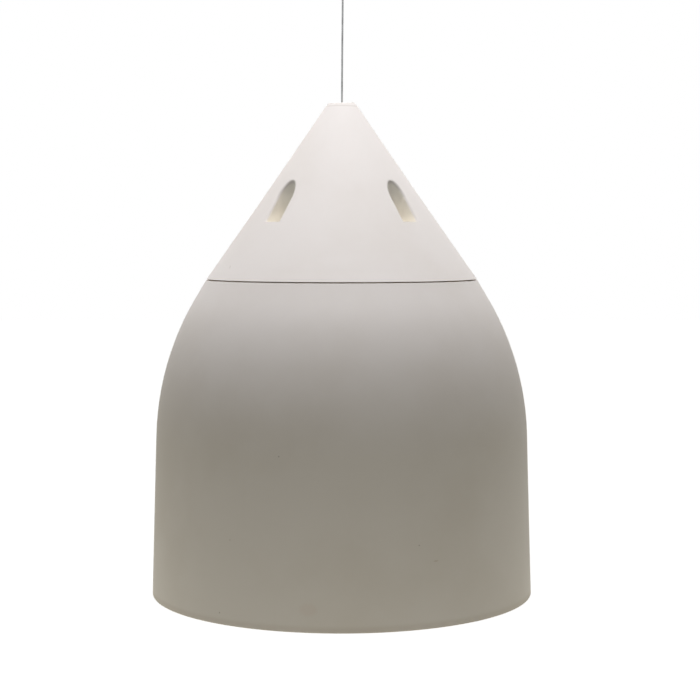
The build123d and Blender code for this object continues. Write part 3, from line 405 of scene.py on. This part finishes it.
def metalFinish(name, tone, stainTone, roughness):
    # plated or machined metal: fine unevenness, and stains that dull it
    paint = material(name)
    fine = paint.noise(metal["fineSize"], detail=4.0)
    stains = paint.noise(metal["stainSize"], detail=5.0, rough=0.65)
    share = paint.step(stains, *metal["edges"]) * metal["strength"]
    tone = paint.blend(share, colour(tone), colour(stainTone))
    dull = paint.step(stains, *metal["dullEdges"]) * metal["dulling"]
    rough = varied(roughness, (fine, 0.2)) + dull
    return paint.finish(tone, rough, fine, metal["depth"], metal["bump"], metallic=1.0)


woven = {
    "edges": (0.05, 0.6), "sheenRoughness": 0.5,
    "slubSize": 0.004, "slubStretch": (1, 0.15, 1), "slubDepth": 0.3,
}
cloths = {  # name, tone, painted shade between the threads, pitch, roughness, depth, sheen
    "scrim_cloth": ("scrimCloth", (38, 38, 39), (8, 8, 8), 0.0009, 0.85, 0.0001, 0.3),
    "spider_cloth": ("spiderCloth", (196, 156, 92), (128, 92, 44), 0.0007, 0.8, 0.00012, 0.3),
    "dome_silk": ("domeSilk", (34, 33, 34), (14, 14, 14), 0.0004, 0.55, 0.00005, 0.6),
}


def wovenFinish(name, tone, gapShade, pitch, roughness, depth, sheen):
    # plain weave: |sin(pi x / pitch)| * |sin(pi y / pitch)|, with thick places in the threads and
    # painted shade between them
    paint = material(name)
    across = paint.maths("SINE", paint.component(paint.point(), 0) * (pi / pitch))
    along = paint.maths("SINE", paint.component(paint.point(), 1) * (pi / pitch))
    weave = paint.maths("ABSOLUTE", across) * paint.maths("ABSOLUTE", along)
    drawn = paint.stretched(woven["slubStretch"])
    slubs = paint.noise(woven["slubSize"], detail=3.0, place=drawn)
    # painted shade: darker between the threads
    tone = paint.blend(paint.step(weave, *woven["edges"]), colour(gapShade), colour(tone))
    return paint.finish(
        tone, varied(roughness, (slubs, 0.1)), weave + slubs * woven["slubDepth"], depth,
        fixed={"Sheen Weight": sheen, "Sheen Roughness": woven["sheenRoughness"]},
    )


layer = {"cloudSize": 0.006, "cloudShare": 0.3, "edges": (0.15, 0.75)}
layered = {  # name, tone, painted shade in the gaps, pitch, roughness, depth, metallic
    "copper": ("copperWire", (196, 112, 70), (112, 52, 28), 0.0006, 0.3, 0.0002, 1.0),
    "lamination_steel": ("laminations", (122, 122, 124), (58, 56, 54), 0.0005, 0.45, 0.00008, 0.9),
}


def layeredFinish(name, tone, gapShade, pitch, roughness, depth, metallic):
    # turns of wire or sheets on each other: 0.5 + 0.5 * sin(2 pi z / pitch), with painted shade in
    # the gaps
    paint = material(name)
    height = paint.component(paint.point(), 2)
    wave = paint.maths("SINE", height * (2 * pi / pitch)) * 0.5 + 0.5
    clouds = paint.noise(layer["cloudSize"], detail=4.0)
    mingled = wave * (1 - layer["cloudShare"]) + clouds * layer["cloudShare"]
    # painted shade: darker in the gaps between turns and sheets
    tone = paint.blend(paint.step(mingled, *layer["edges"]), colour(gapShade), colour(tone))
    return paint.finish(tone, varied(roughness, (clouds, 0.15)), wave, depth, metallic=metallic)


felt = {"ways": ((1, 0.25, 1), (0.25, 1, 1)), "edges": (0.36, 0.62), "sheen": 0.2}
felts = {  # name, tone, darker tone, size of the fibres, roughness, depth
    "black_foam": ("blackFoam", (40, 40, 41), (14, 14, 14), 0.0016, 0.955, 0.0002),
    "cone_paper": ("conePaper", (52, 50, 48), (32, 31, 30), 0.0018, 0.855, 0.00008),
    "tag_board": ("tagBoard", (148, 100, 58), (118, 76, 40), 0.0012, 0.605, 0.00003),
    "wadding": ("polyesterWadding", (222, 221, 218), (178, 177, 174), 0.003, 0.985, 0.0008),
}


def fibreFinish(name, tone, darkTone, size, roughness, depth):
    # felt, foam or pressed paper: short fibres from noise stretched one way and the other
    paint = material(name)
    oneWay, otherWay = felt["ways"]
    lying = paint.noise(size, detail=5.0, rough=0.7, place=paint.stretched(oneWay))
    crossing = paint.noise(size, detail=5.0, rough=0.7, place=paint.stretched(otherWay))
    fibres = lying * 0.5 + crossing * 0.5
    tone = paint.blend(paint.step(fibres, *felt["edges"]), colour(darkTone), colour(tone))
    rough = varied(roughness, (fibres, 0.15))
    return paint.finish(tone, rough, fibres, depth, fixed={"Sheen Weight": felt["sheen"]})


finishes = {"housing_plastic": housingPlastic()}
for makeFinish, rows in (
    (mouldedFinish, mouldings), (metalFinish, metals), (wovenFinish, cloths),
    (layeredFinish, layered), (fibreFinish, felts),
):
    for slotName, row in rows.items():
        finishes[slotName] = makeFinish(*row)

for node in nodes.values():
    node.data.materials[0] = finishes[node.data.materials[0].name]
print("finishes:", len(finishes))


# New pieces

def newPiece(name, points, faces, slotName, stands):
    # a mesh of points and faces that rides on the housing and stands for a CAD node
    mesh = bpy.data.meshes.new(name)
    mesh.from_pydata(points.reshape(-1, 3).tolist(), [], faces)
    mesh.materials.append(finishes[slotName])
    mesh.polygons.foreach_set("use_smooth", np.ones(len(mesh.polygons), bool))
    piece = bpy.data.objects.new(name, mesh)
    bpy.context.scene.collection.objects.link(piece)
    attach(piece, "housing")
    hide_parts(stands)
    return piece


def wrappedGrid(rows, columns, closeRows=False):
    # quads of a grid that is closed round its columns, and round its rows where asked
    row = np.arange(rows if closeRows else rows - 1)[:, None]
    column = np.arange(columns)[None, :]
    nextRow = (row + 1) % rows
    nextColumn = (column + 1) % columns
    corners = [
        row * columns + column, row * columns + nextColumn,
        nextRow * columns + nextColumn, nextRow * columns + column,
    ]
    shape = (len(row), columns)
    return np.stack([np.broadcast_to(corner, shape) for corner in corners], -1).reshape(-1, 4)


# Ferrule: an oval sleeve pressed on the two strands in three bands

ferrule = {
    "low": 0.484,                        # above the rim
    "high": 0.494,
    "half": (0.0034, 0.0023),            # half its width and half its thickness
    "spread": 0.0009,                    # half the distance between the two strands
    "bore": 0.00092,                     # radius of the hole round each strand
    "slotEnds": 3,                       # 1 makes the hole an ellipse, and more makes it a slot
    "flare": 0.0002,                     # by which the hole widens at both ends
    "holeShares": (1.0, 0.98, 0.5, 0.02, 0.0),  # heights of the hole's rings, from the top
    "bands": (0.24, 0.5, 0.76),          # where the press has bitten, as shares of the height
    "bandWidth": 0.055,                  # likewise
    "bite": 0.00028,
    "flatBite": 0.35,                    # how much more the jaws close on the flat sides
    "edge": 0.0004,                      # rounding at both ends
    "rows": 49,
    "sides": 72,
}


def buildFerrule():
    # outer wall: an ellipse less the bite at each band, a bell curve of the height, and less the
    # rounding of the ends; hole: a slot round both strands
    turn = np.linspace(0, 2 * pi, ferrule["sides"], endpoint=False)
    tall = ferrule["high"] - ferrule["low"]
    share = np.linspace(0, 1, ferrule["rows"])
    bitten = sum(np.exp(-((share - band) / ferrule["bandWidth"]) ** 4) for band in ferrule["bands"])
    corner = np.clip(np.minimum(share, 1 - share) * tall / ferrule["edge"], 0, 1)
    rounded = ferrule["edge"] * (1 - np.sqrt(1 - (1 - corner) ** 2))
    inward = (ferrule["bite"] * bitten + rounded)[:, None]
    halfX, halfY = ferrule["half"]
    outerX = (halfX - inward) * np.cos(turn)
    outerY = (halfY - inward * (1 + ferrule["flatBite"] * np.sin(turn) ** 2)) * np.sin(turn)
    hole = ferrule["bore"] + ferrule["flare"] * np.array((1, 0, 0, 0, 1))[:, None]
    strand = ferrule["spread"] * np.clip(ferrule["slotEnds"] * np.cos(turn), -1, 1)
    holeX = hole * np.cos(turn) + strand
    holeY = hole * np.sin(turn)
    x = np.concatenate([outerX, holeX])
    y = np.concatenate([outerY, holeY])
    heights = level(ferrule["low"] + np.concatenate([share, ferrule["holeShares"]]) * tall)
    points = np.stack([x, y, np.broadcast_to(heights[:, None], x.shape)], -1)
    faces = wrappedGrid(len(heights), ferrule["sides"], closeRows=True).tolist()
    return newPiece("crimped_ferrule", points, faces, "aluminium", "rope_ferrule")


# Thimble: a rolled groove round the eye that narrows towards its two ends

thimble = {
    "middle": 0.515,                     # above the rim
    "ropeRadius": 0.0094,
    "groove": 0.00095,
    "depth": 0.00175,                    # from the middle of the rope to the back of the metal
    "halfWidth": 0.0017,
    "bead": 0.00006,                     # slight bead along each edge
    "throat": 46.0,                      # degrees on each side of straight down that stay open
    "taper": 0.45,                       # share of its size that it loses at each end
    "taperLength": 0.006,
    "steps": 120,
    "across": 15,
}


def buildThimble():
    # half an ellipse for the back of the metal and half for the groove, carried round the eye;
    # both shrink towards the ends, as a rolled strip does where it was cut to a point
    start, end = -90 + thimble["throat"], 270 - thimble["throat"]
    around = np.radians(np.linspace(start, end, thimble["steps"]))
    swing = np.linspace(-pi / 2, pi / 2, thimble["across"])
    ends = np.minimum(around - around[0], around[-1] - around) * thimble["ropeRadius"]
    lost = thimble["taper"] * (1 - np.clip(ends / thimble["taperLength"], 0, 1)) ** 2
    taper = (1 - lost)[:, None]
    back = thimble["depth"] * taper
    wide = thimble["halfWidth"] * taper
    groove = thimble["groove"] * taper ** 2
    bead = thimble["bead"] * np.sin(np.linspace(0, pi, thimble["across"])) ** 8 * np.sign(swing)
    radial = np.concatenate([-back * np.cos(swing), -(groove * np.cos(swing))[:, ::-1]], 1)
    across = np.concatenate([wide * np.sin(swing) + bead, (groove * np.sin(swing))[:, ::-1]], 1)
    radius = thimble["ropeRadius"] + radial
    x = radius * np.cos(around)[:, None]
    z = level(thimble["middle"]) + radius * np.sin(around)[:, None]
    rows, columns = radius.shape
    faces = wrappedGrid(rows, columns)[:, ::-1].tolist()
    faces.append(list(range(columns)))
    faces.append(list(range((rows - 1) * columns, rows * columns))[::-1])
    points = np.stack([x, across, z], -1)
    return newPiece("rolled_thimble", points, faces, "zinc_steel", "rope_thimble")


# Rope: six strands laid round a core, along the route's own spline

rope = {
    "route": (                           # heights above the rim
        (0, 0, 0.2485), (0, 0, 0.395), (0.0009, 0, 0.484), (0.0009, 0, 0.501),
        (0.00966, 0, 0.51205), (0.00909, 0, 0.51940), (0.00368, 0, 0.52440),
        (-0.00368, 0, 0.52440), (-0.00909, 0, 0.51940), (-0.00966, 0, 0.51205),
        (-0.0009, 0, 0.501), (-0.0009, 0, 0.481),
    ),
    "diameter": 0.0016,
    "length": 0.3347,
    "exit": (0, 0, 0.2595),
    "strands": 6,
    "lay": 0.0105,                       # length of one turn
    "strandRadius": 0.00026,
    "ringStep": 0.0007,
    "sides": 8,
}


def splineThrough(points):
    # points read from a NURBS spline of order 3 on a route
    line = bpy.data.curves.new("route", "CURVE")
    line.dimensions = "3D"
    line.resolution_u = 64
    spline = line.splines.new("NURBS")
    spline.points.add(len(points) - 1)
    places = [value for x, y, z in points for value in (x, y, level(z), 1)]
    spline.points.foreach_set("co", places)
    spline.order_u = 3
    spline.use_endpoint_u = True
    holder = bpy.data.objects.new("route", line)
    bpy.context.scene.collection.objects.link(holder)
    bpy.context.view_layer.update()
    mesh = bpy.data.meshes.new_from_object(holder)
    path = np.zeros(len(mesh.vertices) * 3)
    mesh.vertices.foreach_get("co", path)
    bpy.data.objects.remove(holder)
    bpy.data.meshes.remove(mesh)
    return path.reshape(-1, 3)


def evenly(path, gap):
    # the same path with its points an even distance apart, and each point's distance along it
    along = np.concatenate([[0], np.cumsum(np.linalg.norm(np.diff(path, axis=0), axis=1))])
    distance = np.linspace(0, along[-1], max(2, int(round(along[-1] / gap)) + 1))
    places = [np.interp(distance, along, path[:, axis]) for axis in range(3)]
    return np.stack(places, -1), distance


def headings(path):
    # unit vector of the path's direction at each of its points
    ahead = np.gradient(path, axis=0)
    return ahead / np.linalg.norm(ahead, axis=1, keepdims=True)


def tubeRings(centres, radius, sides):
    # a ring at each centre, square to the path: centre + radius * (across * cos + other * sin)
    ahead = headings(centres)
    across = np.cross(ahead, (0, 1, 0))
    across /= np.linalg.norm(across, axis=1, keepdims=True)
    other = np.cross(ahead, across)
    angle = (np.arange(sides) * 2 * pi / sides)[None, :, None]
    ring = across[:, None] * np.cos(angle) + other[:, None] * np.sin(angle)
    return centres[:, None] + radius * ring


def buildRope():
    # strand n's middle: path + helix * (sideways * cos(turn) + y * sin(turn)), where turn is
    # 2 pi (distance / lay + n / strands); the core is one more strand with no helix
    path, distance = evenly(splineThrough(rope["route"]), rope["ringStep"])
    sideways = np.cross(headings(path), (0, 1, 0))
    helix = rope["diameter"] / 2 - rope["strandRadius"]
    points, faces = [], []
    for strand in range(rope["strands"] + 1):
        reach = helix if strand < rope["strands"] else 0.0
        turn = 2 * pi * (distance / rope["lay"] + strand / rope["strands"])[:, None]
        offset = np.cos(turn) * sideways + np.sin(turn) * np.array((0, 1, 0))
        rings = tubeRings(path + reach * offset, rope["strandRadius"], rope["sides"])
        rows, columns = rings.shape[:2]
        start = strand * rows * columns
        last = start + (rows - 1) * columns
        points.append(rings.reshape(-1, 3))
        faces += (wrappedGrid(rows, columns) + start).tolist()
        faces.append(list(range(start, start + columns))[::-1])
        faces.append(list(range(last, last + columns)))
    points = np.concatenate(points)
    piece = newPiece("stranded_rope", points, faces, "rope_steel", "suspension_rope")
    buildFerrule()
    buildThimble()


buildRope()
print("rope laid, with its ferrule and thimble")


# Scrim: black cloth stretched over the back of the grille

scrim = {
    "low": 0.0027,                       # above the rim
    "radius": 0.1474,
    "thickness": 0.00035,
    "rise": 0.0005,                      # where the cloth lifts off the grille between the hems
    "hem": 0.97,                         # share of the radius at which it lies down again
    "ripples": (                         # size, waves round, twist, power of the radius
        (0.35, 3, 2.2, 1),
        (0.25, 7, -4, 2),
    ),
    "rings": 56,
    "sides": 240,
}


def buildScrim():
    # two discs a cloth's thickness apart, z = low + rise * lift(radius) * (0.6 + 0.4 * ripple),
    # closed by the outer edge and by a pole in the middle of each
    sides, rings = scrim["sides"], scrim["rings"]
    turn = np.linspace(0, 2 * pi, sides, endpoint=False)
    share = np.linspace(1 / rings, 1, rings)[:, None]
    lift = np.sin(pi * np.clip(share / scrim["hem"], 0, 1)) ** 0.7
    ripple = sum(
        size * np.sin(waves * turn + twist * share) * share ** power
        for size, waves, twist, power in scrim["ripples"]
    )
    under = scrim["low"] + scrim["rise"] * np.clip(lift * (0.6 + 0.4 * ripple), 0, 1)
    reach = scrim["radius"] * share
    lower = np.stack([reach * np.cos(turn), reach * np.sin(turn), level(under)], -1)
    upper = lower + np.array((0, 0, scrim["thickness"]))
    centre = level(scrim["low"])
    poles = [(0, 0, centre), (0, 0, centre + scrim["thickness"])]
    points = np.concatenate([lower.reshape(-1, 3), upper[::-1].reshape(-1, 3), poles])
    rows = 2 * rings
    faces = wrappedGrid(rows, sides).tolist()
    column = np.arange(sides)
    following = (column + 1) % sides
    last = (rows - 1) * sides
    lowerPole = np.full(sides, rows * sides)
    faces += np.stack([lowerPole, following, column], -1).tolist()
    faces += np.stack([lowerPole + 1, last + column, last + following], -1).tolist()
    piece = newPiece("woven_scrim", points, faces, "scrim_cloth", "grille_scrim")


buildScrim()
print("scrim stretched")


# Wadding: a soft roll round the inside of the bell, drawn in by rows of ties

wadding = {
    "clearance": 0.0004,                 # to the bell's wall
    "squareness": 0.45,                  # power of the superellipse: 1 is round, 0 is square
    "tuft": 0.005,                       # how deep the ties draw it in
    "ties": 18,
    "tieReach": (0.3, 0.5),              # how far a tie draws, round the roll and up it
    "slack": 0.0012,                     # small lumps of the fibre
    "lumps": (                           # waves round, waves up, start
        (23, 3, 0.0),
        (41, -5, 1.3),
    ),
    "sides": 480,
    "outline": 96,
}


def cadOutline(node):
    # a round node's lowest and highest point, its inner radius, and its outer radius by height
    place = np.zeros(len(node.data.vertices) * 3)
    node.data.vertices.foreach_get("co", place)
    x, y, z = place.reshape(-1, 3).T
    radius = np.hypot(x, y)
    outer = radius > (radius.min() + radius.max()) / 2
    order = np.argsort(z[outer])
    return z.min(), z.max(), radius.min(), z[outer][order], radius[outer][order]


def squared(wave):
    return np.sign(wave) * np.abs(wave) ** wadding["squareness"]


def buildWadding():
    # outline: a superellipse between the inner face and the bell's wall; it shrinks towards its
    # middle by tuft * (a bell curve at each tie) + slack * (sums of sines)
    low, high, inside, heights, radii = cadOutline(nodes["acoustic_wadding"])
    turn = np.linspace(0, 2 * pi, wadding["sides"], endpoint=False)[None, :]
    around = np.linspace(0, 2 * pi, wadding["outline"], endpoint=False)[:, None]
    across = squared(np.cos(around))
    along = squared(np.sin(around))
    height = (low + high) / 2 + along * (high - low) / 2
    wall = np.interp(height, heights, radii) - wadding["clearance"]
    reachRound, reachUp = wadding["tieReach"]
    tied = np.exp(-(np.cos(turn * wadding["ties"] / 2) / reachRound) ** 2)
    tied = tied * np.exp(-(along / reachUp) ** 2)
    lumps = 0.5 + sum(
        0.25 * np.sin(wavesRound * turn + wavesUp * around + start)
        for wavesRound, wavesUp, start in wadding["lumps"]
    )
    shrink = np.clip(-across, 0, 1) * (wadding["tuft"] * tied) + wadding["slack"] * lumps
    radius = (inside + wall) / 2 + across * ((wall - inside) / 2 - shrink)
    z = height - along * wadding["slack"] * lumps
    points = np.stack([radius * np.cos(turn), radius * np.sin(turn), z], -1)
    faces = wrappedGrid(wadding["outline"], wadding["sides"], closeRows=True).tolist()
    piece = newPiece("quilted_wadding", points, faces, "wadding", "acoustic_wadding")


buildWadding()
print("wadding laid in")


# Floor, backdrop and lights; their tones are linear light, apart from the floor's own two

studio = {
    "floorHalf": 30.0,
    "floorDrop": 1.3,                    # below the rim: it hangs high over the floor
    "floorTone": (229, 228, 222),
    "fibres": {"tone": (235, 234, 232), "size": 0.02, "strength": 0.2},
    "nearGlow": 0.78,                    # what the camera sees on top of the floor's own light,
    "farGlow": 1.0,                      # so that the shadow stays and the distance turns white
    "glowReach": (0.6, 2.5),
    "floorLight": 0.02,                  # soft light that the floor gives the object from below
    "floorLightTone": (1.0, 0.96, 0.83),
    "softboxSide": 1.0,
    "softboxHeight": 0.9,                # above the eye
    "softboxPower": 28.3,
    "softboxTone": (0.95, 0.945, 0.98),
    "lowLampSide": 0.5,                  # four soft lamps turned up, round and below the rim
    "lowLampReach": 0.44,
    "lowLampDrop": 0.14,
    "lowLampPowers": (0.82, 0.8, 0.92, 0.71),  # right, behind, left, front
    "lowLampTone": (1.0, 0.96, 0.81),
    "fill": 0.03,                        # light from all round
    "fillTone": (1.0, 0.95, 0.62),
    "backFill": 0.08,                    # and more of it from behind
    "backEdges": (-0.2, 1.0),
    "white": (1.0, 1.0, 1.0, 1.0),
}


def seenDirectly(paint):
    # 1 for a ray from the camera, or one mirrored or passed on towards the backdrop
    direct = paint.add("LightPath", output="Is Camera Ray")
    mirrored = paint.add("LightPath", output="Is Glossy Ray")
    passed = paint.add("LightPath", output="Is Transmission Ray")
    return paint.maths("MAXIMUM", paint.maths("MAXIMUM", direct, mirrored), passed)


def buildFloor():
    side = studio["floorHalf"]
    z = level(-studio["floorDrop"])
    corners = [(-side, -side, z), (side, -side, z), (side, side, z), (-side, side, z)]
    mesh = bpy.data.meshes.new("floor")
    mesh.from_pydata(corners, [], [(0, 1, 2, 3)])
    floor = bpy.data.objects.new("floor", mesh)
    bpy.context.scene.collection.objects.link(floor)
    paint = material("floorPaper")
    fibres = studio["fibres"]
    share = paint.noise(fibres["size"], detail=4.0) * fibres["strength"]
    tone = paint.blend(share, colour(studio["floorTone"]), colour(fibres["tone"]))
    matt = paint.add("BsdfDiffuse", sockets={"Color": tone})
    seen = seenDirectly(paint)
    spread = paint.step(paint.fromAxis(), *studio["glowReach"])
    shown = spread * (studio["farGlow"] - studio["nearGlow"]) + studio["nearGlow"]
    strength = seen * (shown - studio["floorLight"]) + studio["floorLight"]
    glowTone = paint.blend(seen, (*studio["floorLightTone"], 1.0), studio["white"])
    glow = paint.add("Emission", sockets={"Color": glowTone, "Strength": strength})
    both = paint.add("AddShader", sockets={0: matt, 1: glow})
    paint.add("OutputMaterial", sockets={"Surface": both})
    mesh.materials.append(paint.owner)


def buildWorld():
    world = bpy.data.worlds.new("studio")
    bpy.context.scene.world = world
    paint = Paint(world)
    seen = seenDirectly(paint)
    behind = paint.component(paint.add("TexCoord", output="Generated"), 1)
    given = paint.step(behind, *studio["backEdges"]) * studio["backFill"] + studio["fill"]
    strength = seen * (1 - given) + given
    tone = paint.blend(seen, (*studio["fillTone"], 1.0), studio["white"])
    light = paint.add("Background", sockets={"Color": tone, "Strength": strength})
    paint.add("OutputWorld", sockets={"Surface": light})


def buildLamp(name, place, side, power, tone, turn=0.0):
    light = bpy.data.lights.new(name, "AREA")
    light.shape = "SQUARE"
    light.size = side
    light.energy = power
    light.color = tone
    lamp = bpy.data.objects.new(name, light)
    lamp.location = place
    lamp.rotation_euler = (turn, 0, 0)
    lamp.visible_camera = False
    bpy.context.scene.collection.objects.link(lamp)


def buildLamps():
    # one softbox above, and low lamps a quarter turn apart that look up
    place = (0, 0, studio["softboxHeight"])
    side, power = studio["softboxSide"], studio["softboxPower"]
    buildLamp("softbox", place, side, power, studio["softboxTone"])
    reach, side = studio["lowLampReach"], studio["lowLampSide"]
    z = level(-studio["lowLampDrop"])
    for number, power in enumerate(studio["lowLampPowers"]):
        angle = number * pi / 2
        place = (reach * cos(angle), reach * sin(angle), z)
        buildLamp(f"lowLamp{number}", place, side, power, studio["lowLampTone"], turn=pi)


buildFloor()
buildWorld()
buildLamps()
bpy.context.scene.view_settings.view_transform = "Standard"
print("studio set")
